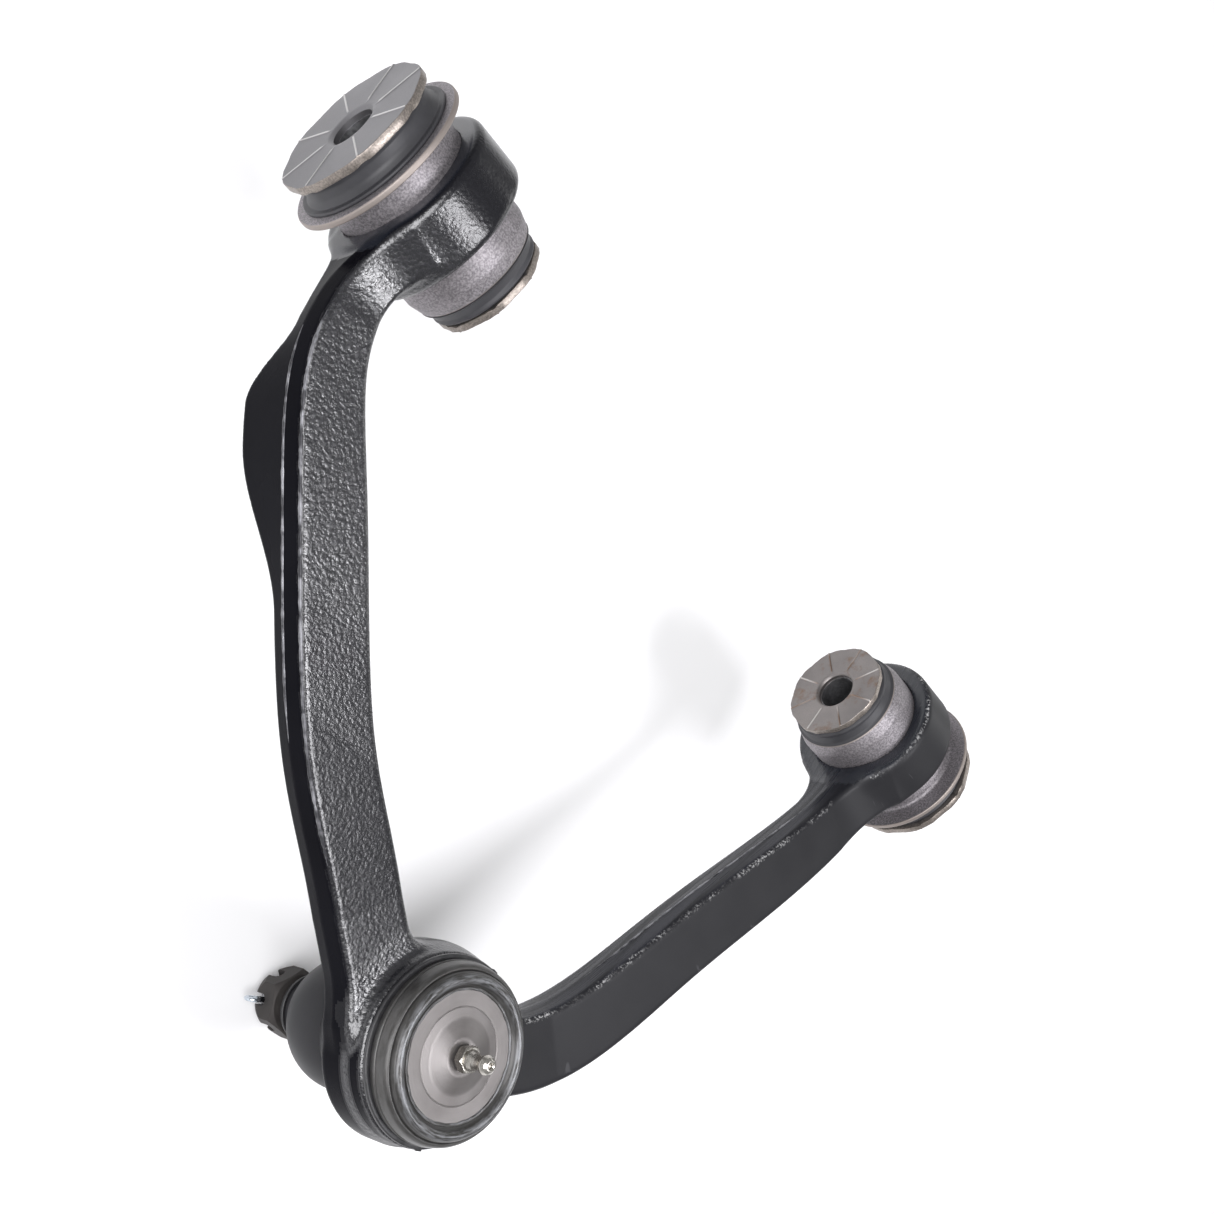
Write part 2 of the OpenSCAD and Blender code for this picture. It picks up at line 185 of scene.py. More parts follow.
def lathe(name, outline, place, segments=160, sharp=35, wobble=None, edge=None):
    """Turns a closed outline of (r, h) points round the place's Z axis.
    wobble(angle, r, h) may move a point; edge(r, h) is how worn it is, for the material."""
    def point(c, r):
        angle = 2 * math.pi * c / segments
        radius, height = outline[r]
        if wobble:
            radius, height = wobble(angle, radius, height)
        return radius * math.cos(angle), radius * math.sin(angle), height
    obj = ring_mesh(name, point, segments, len(outline), place, sharp=sharp)
    if edge:
        mark(obj, "edge", [edge(r, h) for r, h in outline] * segments)
    return obj


def tube(name, path, radius, place=Matrix.Identity(4), sides=16):
    """A round wire along a path of points, with flat ends. Its radius may change from point to point."""
    path = np.array(path, float)
    radius = np.broadcast_to(radius, len(path))
    along = np.gradient(path, axis=0)
    along /= np.linalg.norm(along, axis=1)[:, None]
    side = np.cross(along[0], (0.3, 0.5, 0.81))
    points = []
    for here, way, r in zip(path, along, radius):
        side = side - way * (side @ way)
        side = side / np.linalg.norm(side)
        up = np.cross(way, side)
        for k in range(sides):
            a = 2 * math.pi * k / sides
            points.append(here + r * (math.cos(a) * side + math.sin(a) * up))
    faces = [list(range(sides)), list(range(len(points) - sides, len(points)))]
    for i in range(len(path) - 1):
        for k in range(sides):
            a, b = i * sides + k, i * sides + (k + 1) % sides
            faces.append((a, b, b + sides, a + sides))
    return make_object(name, points, faces, place)


# ---------------- distance fields

def smooth_min(a, b, k):
    """The nearer of two distances, rounded over where they meet."""
    share = np.maximum(k - np.abs(a - b), 0) / k
    return np.minimum(a, b) - share * share * k / 4


def rounded_box(a, b, r):
    """Distance to the region a <= 0 and b <= 0, with its corner rounded by r."""
    a, b = a + r, b + r
    outside = np.sqrt(np.maximum(a, 0) ** 2 + np.maximum(b, 0) ** 2)
    return outside + np.minimum(np.maximum(a, b), 0) - r


def field_mesh(name, distance, low, high, step, place=Matrix.Identity(4), refine=2, sharp=35):
    """Meshes the surface where distance(x, y, z) is zero, and moves its points onto it exactly."""
    axes = [np.arange(a - 2 * step, b + 3 * step, step) for a, b in zip(low, high)]
    x, y, z = np.meshgrid(*axes, indexing="ij", sparse=True)
    values = np.clip(distance(x, y, z), -3 * step, 3 * step).astype(np.float32)
    grid = openvdb.FloatGrid(3 * step)
    grid.copyFromArray(np.ascontiguousarray(values))
    points, quads = grid.convertToQuads(isovalue=0.0)
    points = points.astype(float) * step + np.array([a[0] for a in axes])
    for _ in range(refine):
        points = onto_surface(points, distance, step)
    return make_object(name, points, quads, place, sharp)


def onto_surface(points, distance, step):
    """One Newton step towards the zero surface, no longer than half a voxel."""
    gap = 0.05 * step
    here = distance(*points.T)
    slope = np.stack([(distance(*(points + move).T) - here) / gap for move in np.eye(3) * gap], axis=1)
    shift = -here[:, None] * slope / np.maximum((slope ** 2).sum(1), 0.25)[:, None]
    length = np.linalg.norm(shift, axis=1)
    return points + shift * np.minimum(1, 0.5 * step / np.maximum(length, 1e-9))[:, None]


# ---------------- materials

class Look:
    """A node material on one Principled shader, with patterns in object space (metres)."""

    def __init__(self, name, **sockets):
        self.material = bpy.data.materials.new(name)
        self.material.use_nodes = True
        self.nodes = self.material.node_tree.nodes
        self.links = self.material.node_tree.links
        self.shader = self.nodes["Principled BSDF"]
        self.place = self.nodes.new("ShaderNodeTexCoord").outputs["Object"]
        for socket, value in sockets.items():
            self.set(socket.replace("_", " "), value)

    def set(self, socket, value):
        target = self.shader.inputs[socket]
        if isinstance(value, bpy.types.NodeSocket):
            self.links.new(value, target)
        else:
            target.default_value = value

    def node(self, kind, output, **inputs):
        made = self.nodes.new(kind)
        for key, value in inputs.items():
            slot = made.inputs[int(key[1:]) if key[1:].isdigit() else key.replace("_", " ")]
            if isinstance(value, bpy.types.NodeSocket):
                self.links.new(value, slot)
            else:
                slot.default_value = value
        return made, made.outputs[output]

    def stretched(self, scale, turn=(0, 0, 0)):
        """Object space scaled unevenly, for patterns with a grain."""
        made, out = self.node("ShaderNodeMapping", "Vector", Vector=self.place)
        made.inputs["Scale"].default_value = scale
        made.inputs["Rotation"].default_value = turn
        return out

    def noise(self, scale, detail=4.0, roughness=0.55, vector=None):
        return self.node(
            "ShaderNodeTexNoise", "Fac", Vector=vector or self.place, Scale=scale,
            Detail=detail, Roughness=roughness,
        )[1]

    def dimples(self, scale):
        made = self.nodes.new("ShaderNodeTexVoronoi")
        made.feature = "SMOOTH_F1"
        made.inputs["Scale"].default_value = scale
        self.links.new(self.place, made.inputs["Vector"])
        return made.outputs["Distance"]

    def circular(self, across, along):
        """Coordinates for streaks that run round the ball joint's axis."""
        made, from_axis = self.node("ShaderNodeVectorMath", "Vector", _0=self.place)
        made.operation = "SUBTRACT"
        made.inputs[1].default_value = (BALL_X * MM, BALL_REACH * MM, 0)
        flat, level = self.node("ShaderNodeVectorMath", "Vector", _0=from_axis)
        flat.operation = "MULTIPLY"
        flat.inputs[1].default_value = (1, 1, 0)
        length = self.nodes.new("ShaderNodeVectorMath")
        length.operation = "LENGTH"
        self.links.new(level, length.inputs[0])
        split = self.nodes.new("ShaderNodeSeparateXYZ")
        self.links.new(from_axis, split.inputs[0])
        scaled = {
            "X": self.math("MULTIPLY", split.outputs["X"], along),
            "Y": self.math("MULTIPLY", split.outputs["Y"], along),
            "Z": self.math("MULTIPLY", length.outputs["Value"], across),
        }
        return self.node("ShaderNodeCombineXYZ", "Vector", **scaled)[1]

    def attribute(self, name):
        made = self.nodes.new("ShaderNodeAttribute")
        made.attribute_name = name
        return made.outputs["Fac"]

    def math(self, operation, a, b=0.0, clamp=False):
        made, out = self.node("ShaderNodeMath", "Value", _0=a, _1=b)
        made.operation = operation
        made.use_clamp = clamp
        return out

    def ramp(self, value, *stops):
        """A colour ramp through (position, colour or grey) stops."""
        made, out = self.node("ShaderNodeValToRGB", "Color", Fac=value)
        elements = made.color_ramp.elements
        while len(elements) < len(stops):
            elements.new(0.5)
        for element, (position, colour) in zip(elements, stops):
            element.position = position
            element.color = (*colour, 1) if isinstance(colour, tuple) else (colour, colour, colour, 1)
        return out

    def mix(self, share, a, b):
        """Between two colours, by a socket's share of the second."""
        made = self.nodes.new("ShaderNodeMix")
        made.data_type = "RGBA"
        for index, value in ((0, share), (6, a), (7, b)):
            if isinstance(value, bpy.types.NodeSocket):
                self.links.new(value, made.inputs[index])
            else:
                made.inputs[index].default_value = (*value, 1)
        return made.outputs[2]

    def bump(self, *layers):
        """Stacks (height, distance in metres, strength) layers into the shader's normal."""
        normal = None
        for height, distance, strength in layers:
            made, out = self.node("ShaderNodeBump", "Normal", Height=height, Distance=distance)
            if isinstance(strength, bpy.types.NodeSocket):
                self.links.new(strength, made.inputs["Strength"])
            else:
                made.inputs["Strength"].default_value = strength
            if normal:
                self.links.new(normal, made.inputs["Normal"])
            normal = out
        self.set("Normal", normal)


def paint(obj, look):
    obj.data.materials.clear()
    obj.data.materials.append(look.material)


def add(obj, look, body, slot, *nodes):
    """Finishes a piece: its material, its body and the CAD nodes it stands for; its slot argument is not
    used.
    """
    paint(obj, look)
    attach(obj, body)
    if nodes:
        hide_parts(*nodes)
    return obj


# ---------------- the forged arm

EYE_R, EYE_W, EYE_EDGE = 30.8, 22.0, 3.0
SHELL_R, HOUSING_R = 23.6, 27.0
LEG_H, LEG_EDGE, LEG_DRAFT = 16.5, 2.0, 1.2
# The legs' top falls from half their height to this level, between these distances from the pivot axis.
LEG_TOP_AT_BOSS = -5.0
FALL = (50, 185)
NECK_FILLET = 34.0
NECK_REACH, NECK_LIFT = EYE_R + NECK_FILLET, LEG_H / 2 + NECK_FILLET
NECK_END = math.sqrt(NECK_REACH ** 2 - NECK_LIFT ** 2)
NECK_START = NECK_END * EYE_R / NECK_REACH
BOSS_R, BOSS_RING_R = 32.7, 31.5
BOSS_BOTTOM, BOSS_STEP, BOSS_TOP = -22.5, -7.0, -1.0

# Control points of the legs' centre lines: x, y and width.
FRONT_LEG = dict(depth=LEG_H - 1.3, pad=17.5, path=[
    (EYE_X, -20, 20), (EYE_X, 14, 18), (EYE_X + 4.4, 33.4, 14), (EYE_X + 1.8, 63.5, 22),
    (EYE_X - 27.6, 95.3, 26), (BALL_X + 92.3, BALL_REACH - 55.8, 26), (BALL_X + 60, BALL_REACH - 35, 26),
    (BALL_X + 17, BALL_REACH + 3, 26), (BALL_X - 14, BALL_REACH + 31, 24)])
REAR_LEG = dict(depth=LEG_H + 0.4, pad=0.0, path=[
    (-EYE_X - 14, -20, 20), (-EYE_X - 1, 10, 18), (-EYE_X + 4.3, 43.9, 21.0), (-EYE_X + 29.9, 90.7, 24.5),
    (BALL_X - 81.7, BALL_REACH - 79.2, 24.5), (BALL_X - 53.6, BALL_REACH - 17.2, 26.7),
    (BALL_X - 4, BALL_REACH + 1, 23.5), (BALL_X + 36, BALL_REACH + 6, 23.5)])
PAD_RISE, PAD_FALL = (55, 73), (82, 121)
BOSS_FILLET, BOSS_BLEND, EYE_BLEND = 12.0, 4.0, 3.5
PARTING = 7.5  # how far below a leg's top its parting line runs
# Past the ball joint the legs shrink away by this much, so that they end inside the boss.
LEGS_SHRINK, SHRINK_FROM, SHRINK_TO = 8, 10, 24


def ramp(value, start, end):
    return np.clip((value - start) / (end - start), 0, 1)


def smooth(t):
    return t * t * (3 - 2 * t)


def eased(value, start, end):
    return smooth(ramp(value, start, end))


def spline(control, steps=36):
    """Points (x, y, width) and unit directions along a uniform cubic B-spline."""
    p = np.array(control, float)
    t = np.linspace(0, 1, steps, endpoint=False)[:, None]
    spans = [
        ((1 - t) ** 3 * p[i] + (3 * t ** 3 - 6 * t ** 2 + 4) * p[i + 1]
         + (-3 * t ** 3 + 3 * t ** 2 + 3 * t + 1) * p[i + 2] + t ** 3 * p[i + 3]) / 6
        for i in range(len(p) - 3)]
    points = np.concatenate(spans)
    ways = np.gradient(points[:, :2], axis=0)
    return points, ways / np.linalg.norm(ways, axis=1)[:, None]


def leg_heights(y, leg):
    """Top and bottom of a leg where its centre line is at y."""
    along = np.minimum(NECK_END, np.maximum(y, NECK_START))
    flare = NECK_FILLET - np.sqrt(NECK_FILLET ** 2 - (NECK_END - along) ** 2)
    top = LEG_H / 2 + (LEG_TOP_AT_BOSS - LEG_H / 2) * ramp(y, *FALL)
    pad_share = eased(y, *PAD_RISE) * (1 - eased(y, *PAD_FALL))
    return top + flare, top - leg["depth"] - leg["pad"] * pad_share - flare


def beside_leg(leg, x, y):
    """Beside a leg's centre line: the offset of (x, y), the line's y and width, how far past its end."""
    points, ways = spline(leg["path"])
    shape = np.broadcast_shapes(np.shape(x), np.shape(y))
    px, py = np.broadcast_to(x, shape).ravel(), np.broadcast_to(y, shape).ravel()
    nearest = np.empty(px.size, int)
    for start in range(0, px.size, 20000):
        part = slice(start, start + 20000)
        gap = (px[part, None] - points[:, 0]) ** 2 + (py[part, None] - points[:, 1]) ** 2
        nearest[part] = gap.argmin(1)
    dx, dy = px - points[nearest, 0], py - points[nearest, 1]
    wx, wy = ways[nearest].T
    along = dx * wx + dy * wy
    at_end = (nearest == 0) | (nearest == len(points) - 1)
    past = np.where(nearest == 0, -along, np.where(at_end, along, -99))
    step = np.where(at_end, 0, along)
    slope = np.gradient(points[:, 2]) / np.linalg.norm(np.gradient(points[:, :2], axis=0), axis=1)
    own_y = points[nearest, 1] + step * wy
    width = points[nearest, 2] + step * slope[nearest]
    sideways = dx * wy - dy * wx
    return [value.reshape(shape) for value in (sideways, own_y, width, past)]


def leg_distance(leg, x, y, z):
    sideways, own_y, width, past = beside_leg(leg, x, y)
    top, bottom = leg_heights(own_y, leg)
    middle, half_height = (top + bottom) / 2, (top - bottom) / 2
    up = np.abs(z - middle)
    from_parting = z - top + PARTING
    off_parting = np.maximum(from_parting / PARTING, -from_parting / (top - bottom - PARTING))
    draft = LEG_DRAFT * (1 - np.clip(off_parting, 0, 1))
    across = np.maximum(np.abs(sideways) - width / 2, past)
    from_boss = np.sqrt((x - BALL_X) ** 2 + (y - BALL_REACH) ** 2) - BOSS_R + 1
    across = smooth_min(across, from_boss, BOSS_FILLET) - draft
    return rounded_box(across, up - half_height, LEG_EDGE)


def edge_line(leg, side, down, start, end, out=0.0):
    """A line along a leg's side, a set distance down from its top."""
    points, ways = spline(leg["path"])
    keep = (points[:, 1] > start) & (points[:, 1] < end)
    points, ways = points[keep], ways[keep]
    top, bottom = leg_heights(points[:, 1], leg)
    draft = LEG_DRAFT * (1 - abs(down - PARTING) / PARTING)
    reach = side * (points[:, 2] / 2 + draft + out)
    return np.stack([
        points[:, 0] + reach * ways[:, 1], points[:, 1] - reach * ways[:, 0], top - down], axis=1)


def arm_distance(x, y, z):
    """Distance to the forging: legs, eyes and boss faired together, less the bores."""
    legs = np.minimum(leg_distance(FRONT_LEG, x, y, z), leg_distance(REAR_LEG, x, y, z))
    from_axis = np.sqrt(y * y + z * z)
    from_eye = np.abs(np.abs(x) - EYE_X)
    eyes = rounded_box(from_axis - EYE_R, from_eye - EYE_W / 2, EYE_EDGE)
    body = smooth_min(legs, eyes, EYE_BLEND)
    from_ball = np.sqrt((x - BALL_X) ** 2 + (y - BALL_REACH) ** 2)
    middle, half = (BOSS_STEP + BOSS_BOTTOM) / 2, (BOSS_STEP - BOSS_BOTTOM) / 2
    low_ring = rounded_box(from_ball - BOSS_R, np.abs(z - middle) - half, 4.0)
    middle, half = (BOSS_TOP + BOSS_BOTTOM + 3) / 2, (BOSS_TOP - BOSS_BOTTOM - 3) / 2
    high_ring = rounded_box(from_ball - BOSS_RING_R, np.abs(z - middle) - half, 1.5)
    boss = smooth_min(low_ring, high_ring, 1.5)
    legs_end = LEGS_SHRINK * eased(y, BALL_REACH + SHRINK_FROM, BALL_REACH + SHRINK_TO)
    body = smooth_min(body + legs_end, boss, BOSS_BLEND)
    bore = np.minimum(
        np.where(from_eye < EYE_W, from_axis - SHELL_R, 99), from_ball - HOUSING_R)
    return np.maximum(body, -bore)


# How much the black finish mirrors, from the smooth sides to the hammered top. It is constant within one
# material, so each face takes the material nearest to its own value.
GLOSS_LEVELS = (0.02, 0.12, 0.22, 0.4, 0.6, 0.8, 1.0)


def spread_gloss(arm, looks, level):
    """Gives each face of the arm the look whose gloss is nearest to the mean of its corners' level."""
    corners = np.empty(len(arm.data.loops), np.int32)
    arm.data.loops.foreach_get("vertex_index", corners)
    starts = np.empty(len(arm.data.polygons), np.int32)
    arm.data.polygons.foreach_get("loop_start", starts)
    sizes = np.diff(np.append(starts, len(corners)))
    mean = np.add.reduceat(level[corners], starts) / sizes
    nearest = np.abs(mean[:, None] - np.array(GLOSS_LEVELS)).argmin(axis=1)
    for look in looks[1:]:
        arm.data.materials.append(look.material)
    arm.data.polygons.foreach_set("material_index", nearest.astype(np.int32))


def arm_masks(x, y, z, nx, nz):
    """How much of each finish a point of the arm has, from 0 to 1; behind, face and satin also set where
    reflection and sheen are painted into the colour.
    """
    from_axis = np.sqrt(y * y + z * z)
    on_rim = (np.abs(np.abs(x) - EYE_X) < EYE_W) & (from_axis < EYE_R + 2)
    from_ball = np.hypot(x - BALL_X, y - BALL_REACH)
    facing = np.where(on_rim, eased(1 - np.abs(nx), 0.1, 0.5), eased(nz, 0.45, 0.8))
    facing = np.maximum(facing, eased(from_ball, BOSS_R + 9, BOSS_R + 4) * eased(nz, 0.12, 0.4))
    near_ball = eased(y, BALL_REACH - 110, BALL_REACH - 45)
    on_eye = eased(y, 24, 4)
    cove = eased(from_ball, BOSS_R + 11, BOSS_R + 6)
    calm = 1 - 0.35 * near_ball * (1 - cove) - 0.6 * on_eye
    side, own_y, width, _ = beside_leg(REAR_LEG, x, y)
    top, _ = leg_heights(own_y, REAR_LEG)
    inner_edge = ramp(0.9 - np.hypot(side - width / 2 + 0.6, z - top + 0.5), 0, 0.4)
    inner_edge = inner_edge * (x < -45) * (own_y > 46)
    eye_edge = ramp(0.9 - np.hypot(from_axis - EYE_R + 0.6, x + EYE_X - EYE_W / 2 + 0.6), 0, 0.4) * (z > 0)
    return {
        "hammer": facing * eased(x, BALL_X - 10, BALL_X + 2) * calm,
        "satin": facing * eased(x, BALL_X - 6, BALL_X - 20),
        "behind": ramp(x, -20, -50),
        "wear": np.maximum(inner_edge, eye_edge),
        "face": eased(np.abs(nx), 0.8, 0.97) * on_rim,
    }


def forged_arm(looks):
    low, high = size_of("arm_forging")
    step = 0.85
    arm = field_mesh("arm", arm_distance, low, high, step, refine=1)
    count = len(arm.data.vertices)
    place, normal = np.empty(count * 3), np.empty(count * 3)
    arm.data.vertices.foreach_get("co", place)
    arm.data.vertex_normals.foreach_get("vector", normal)
    x, y, z = place.reshape(-1, 3).T / MM
    nx, _, nz = normal.reshape(-1, 3).T
    masks = arm_masks(x, y, z, nx, nz)
    for name, values in masks.items():
        mark(arm, name, values)
    add(arm, looks[0], "arm", "black_forging", "arm_forging")
    level = 0.02 + 0.2 * masks["behind"]
    level += masks["satin"] * (0.2 - level)
    level += masks["hammer"] * (1.0 - level)
    level += masks["face"] * (0.7 - level)
    spread_gloss(arm, looks, level)


def flash_lines(look):
    """What is left of the flash along the parting lines, and the raised burr on the front leg's top edge."""
    lines = {  # leg, side, distance down from its top, from and to which y, how far out, radius
        "front_outer": (FRONT_LEG, 1, PARTING, 56, 150, -0.1, 0.5),
        "front_burr": (FRONT_LEG, 1, 0.9, 50, 176, -0.7, 0.6),
        "front_inner": (FRONT_LEG, -1, PARTING, 52, 168, -0.2, 0.45),
        "rear_inner": (REAR_LEG, 1, PARTING, 52, 168, -0.2, 0.45),
        "rear_outer": (REAR_LEG, -1, PARTING, 52, 176, -0.2, 0.45),
    }
    for name, (leg, side, down, start, end, out, thick) in lines.items():
        path = edge_line(leg, side, down, start, end, out)
        along = np.arange(len(path))
        ragged = 1 + 0.22 * np.sin(along * 0.9) * np.sin(along * 0.37 + 1) + 0.12 * np.sin(along * 2.3)
        fade = np.minimum(1, np.minimum(along, along[::-1]) / 10 + 0.1)
        add(tube("flash_" + name, path, thick * ragged * fade, sides=10), look, "arm", "black_forging")


# ---------------- bushings

HALF_LEN = 34.99
RIDGE_H = 0.4
OUTER_PLATE = dict(r=27.25, t=2.9, back=HALF_LEN - RIDGE_H - 2.9)
INNER_PLATE = dict(r=20.5, t=2.5, back=HALF_LEN - RIDGE_H - 2.5)
BORE_R, SLEEVE_R = 7.25, 10.5
FLANGE_R, FLANGE_FACE, FLANGE_T = 31.25, 23.4, 2.2
RIDGES = 8


def bushing_shell(end, name, look):
    wall = 1.8
    back = FLANGE_FACE - FLANGE_T
    outline = profile(
        (SHELL_R - wall, -20), (SHELL_R - wall - 1.5, -25.3, 0.4), (SHELL_R - 1.5, -26.0, 0.9),
        (SHELL_R, -20.5, 3), (SHELL_R, back, 1.6), (FLANGE_R, back, 0.5),
        (FLANGE_R, FLANGE_FACE, 0.7), (SHELL_R + 1, FLANGE_FACE, 1), (SHELL_R - wall, FLANGE_FACE - 3))
    shell = lathe(name, outline, at_bushing(end), 192, edge=lambda r, h: float(r > 30.9 or h < -25.2))
    add(shell, look, "arm", "shell_steel", name_of(end, "bushing_shell"))


def name_of(end, piece):
    return ("front_" if end == FRONT else "rear_") + piece


def bushing_rubber(end, name, look):
    outer = OUTER_PLATE["back"] - 0.1
    inner = -INNER_PLATE["back"] + 0.1
    outline = profile(
        (SLEEVE_R + 0.05, inner), (19.4, inner, 0.5), (20.9, inner + 1.1, 0.7), (20.4, inner + 2.6, 0.8),
        (21.3, -26.6, 0.8), (22.3, -25.9), (21.0, -25.2), (21.7, -20), (21.7, 20),
        (23.5, FLANGE_FACE + 0.05), (28.0, FLANGE_FACE + 0.05, 0.5), (27.9, FLANGE_FACE + 1.2, 0.6),
        (26.0, FLANGE_FACE + 1.3, 0.5), (24.6, FLANGE_FACE + 3.2, 3), (24.5, outer - 1.6, 1.5),
        (25.3, outer, 0.4), (SLEEVE_R + 0.05, outer))
    rubber = lathe(name, outline, at_bushing(end), 160)
    add(rubber, look, "arm", "bushing_rubber", name_of(end, "bushing_rubber"))


def inner_sleeve(end, name, look):
    low, high = -INNER_PLATE["back"], OUTER_PLATE["back"]
    outline = profile((BORE_R, low), (SLEEVE_R, low), (SLEEVE_R, high), (BORE_R, high))
    body = name_of(end, "sleeve")
    add(lathe(name, outline, at_bushing(end), 96), look, body, "sleeve_steel", name_of(end, "inner_sleeve"))


def end_plate(name, plate, place, side, turn, look, body, node):
    """A ridged washer: octagonal outline, a raised ridge to each corner, its hollow on the back."""
    r, t, back = plate["r"], plate["t"], plate["back"]
    hole = BORE_R + 0.35
    face = back + t
    band = 0.8
    offsets = [-0.8, -0.45, -0.2, -0.06, 0.06, 0.2, 0.45]
    fans = 12
    apothem = 0.979 * r
    sector = 2 * math.pi / RIDGES
    ring = [  # (share of the way out, height over the back, is it on the face)
        (0.0, t - 1.0, 0), (0.06, t - 0.15, 0),
        *((share, t, 1) for share in (0.085, 0.13, 0.2, 0.3, 0.42, 0.55, 0.68, 0.8, 0.9, 0.96, 0.984)),
        (0.995, t - 0.12, 1), (1.0, t - 0.4, 0.6), (1.0, t - 1.2, 0), (1.0, 0.5, 0), (0.992, 0.08, -1),
        *((share, 0.0, -1) for share in (0.97, 0.85, 0.7)), (0.4, 0.0, 0), (0.0, 0.0, 0)]
    face_rows, edge_rows = range(4, 13), range(13, 19)
    rows = len(ring)
    per_sector = len(offsets) + fans

    def point(column, row):
        share, height, surface = ring[row]
        index, k = divmod(column, per_sector)
        radius = hole + (r - hole) * share
        edge = math.asin(band / radius)
        if k < len(offsets):
            angle = math.asin(offsets[k] / radius)
        else:
            angle = edge + (sector - 2 * edge) * (k - len(offsets)) / fans
        nearest = min(angle % sector, sector - angle % sector) if angle > 0 else -angle
        off_ridge = abs(radius * math.sin(nearest))
        limit = min(1.0, apothem / r / math.cos(sector / 2 - nearest))
        whole = index * sector + angle
        chip = 0.1 * math.sin(31 * whole) * math.sin(7.3 * whole + index)
        radius *= 1 - (1 - limit) * share ** 2
        if share > 0.9:
            radius += chip * share
        rise = 0
        if surface > 0:
            crest = max(0.0, 1 - off_ridge / 0.5)
            swell = 0.1 * share * smooth(1 - off_ridge / (r / 2))
            rise = RIDGE_H * surface * crest * float(ramp(share, 0.12, 0.2)) + swell
        if surface < 0:
            rise = 0.75 * max(0.0, 1 - off_ridge / 1.4) * float(ramp(share, 0.65, 0.85))
        rise = min(rise, RIDGE_H) if surface >= 0 else rise
        whole += turn
        return radius * math.cos(whole), radius * math.sin(whole), side * (back + height + rise)

    def worn(column, row):
        k = column % per_sector
        on_ridge = k < len(offsets) and abs(offsets[k]) < 0.3 and row in face_rows
        return float(row in edge_rows), float(on_ridge)

    columns = RIDGES * per_sector
    made = ring_mesh(name, point, columns, rows, place, sharp=28)
    marks = [worn(c, r) for c in range(columns) for r in range(rows)]
    mark(made, "edge", [pair[0] for pair in marks])
    mark(made, "ridge", [pair[1] for pair in marks])
    add(made, look, body, "plate_steel", node)


def bushing(end, looks):
    tag = "front" if end == FRONT else "rear"
    place = at_bushing(end)
    body = tag + "_sleeve"
    turn = 0 if end == FRONT else math.radians(13)
    bushing_shell(end, tag + "_shell", looks["shell"])
    bushing_rubber(end, tag + "_rubber", looks["rubber"])
    inner_sleeve(end, tag + "_bore_sleeve", looks["sleeve"])
    inner_look = looks["plate"] if end == FRONT else looks["worn_plate"]
    for piece, node, plate, side, look in (
            ("_large_plate", "_outer_end_plate", OUTER_PLATE, 1, looks["plate"]),
            ("_small_plate", "_inner_end_plate", INNER_PLATE, -1, inner_look)):
        end_plate(tag + piece, plate, place, side, turn, look, body, tag + node)


# ---------------- ball joint

RIM_R, LIP_R, COVER_Z = 29.7, 20.6, 9.5
COVER_TOP = COVER_Z - 1.0
FLANGE_BOTTOM = 0.8


def ball_housing(look):
    """The pressed-in housing, its rim rolled over onto the cover."""
    def wobble(angle, r, h):
        lip = max(0.0, 1 - abs(r - LIP_R) / 2.2) * (h > 8.6)
        wave = math.sin(5 * angle + 1) + 0.6 * math.sin(13 * angle) + 0.4 * math.sin(29 * angle + 2)
        return r + 0.14 * lip * wave, h - 0.05 * lip * wave

    def edge(r, h):
        return float(ramp(h, 9.3, 10.3)) + float(abs(r - LIP_R - 0.3) < 0.5 and h > COVER_TOP)

    outline = profile(
        (19.5, -16), (12, -16), (16.5, -27, 0.5), (22.5, -27, 0.4), (22.5, -24), (26, -24, 0.4), (27, -23),
        (27, FLANGE_BOTTOM), (RIM_R - 0.3, FLANGE_BOTTOM, 0.5), (RIM_R, 3.0, 0.4), (RIM_R - 0.45, 3.4, 0.2),
        (RIM_R - 0.2, 4.0, 0.5), (RIM_R - 0.9, 7.0, 3), (27.3, 8.6, 2))
    outline += [(26.6, 9.0), (26.15, 9.4)]
    outline += arc((24.55, 8.65), 1.95, 25, 160, 12)
    outline += profile((22.2, 8.95, 0.5), (LIP_R + 0.5, 8.85, 0.3), (LIP_R, COVER_TOP + 0.1, 0.1),
                       (LIP_R + 1, COVER_TOP + 0.02), (23.6, COVER_TOP + 0.02), (23.6, 7), (19.5, 7))
    housing = lathe("ball_housing", outline, at_ball_joint(), 240, wobble=wobble, edge=edge)
    add(housing, look, "arm", "housing_steel", "ball_joint_housing")


def cover(look):
    """Dished cover: a flat seat, a turned line, and a shallow dome that falls back in to the fitting."""
    top = COVER_TOP
    outline = profile(
        (3.1, 7), (23.55, 7), (23.55, top - 0.02), (15.9, top - 0.02, 0.15), (15.65, top - 0.22, 0.15),
        (15.4, top - 0.05, 0.2), (12.2, top + 0.1, 6), (6.0, top + 2.0, 3.5), (3.1, top + 1.7))
    add(lathe("cover_disc", outline, at_ball_joint(), 160), look, "arm", "cover_steel", "cover_plate")


def hexagon(x, y):
    """How far out a point is, measured square to a hexagon's flats. One flat faces +X."""
    slanted = np.abs(x) * 0.5 + np.abs(y) * math.sqrt(0.75)
    return np.maximum(np.abs(x), slanted)


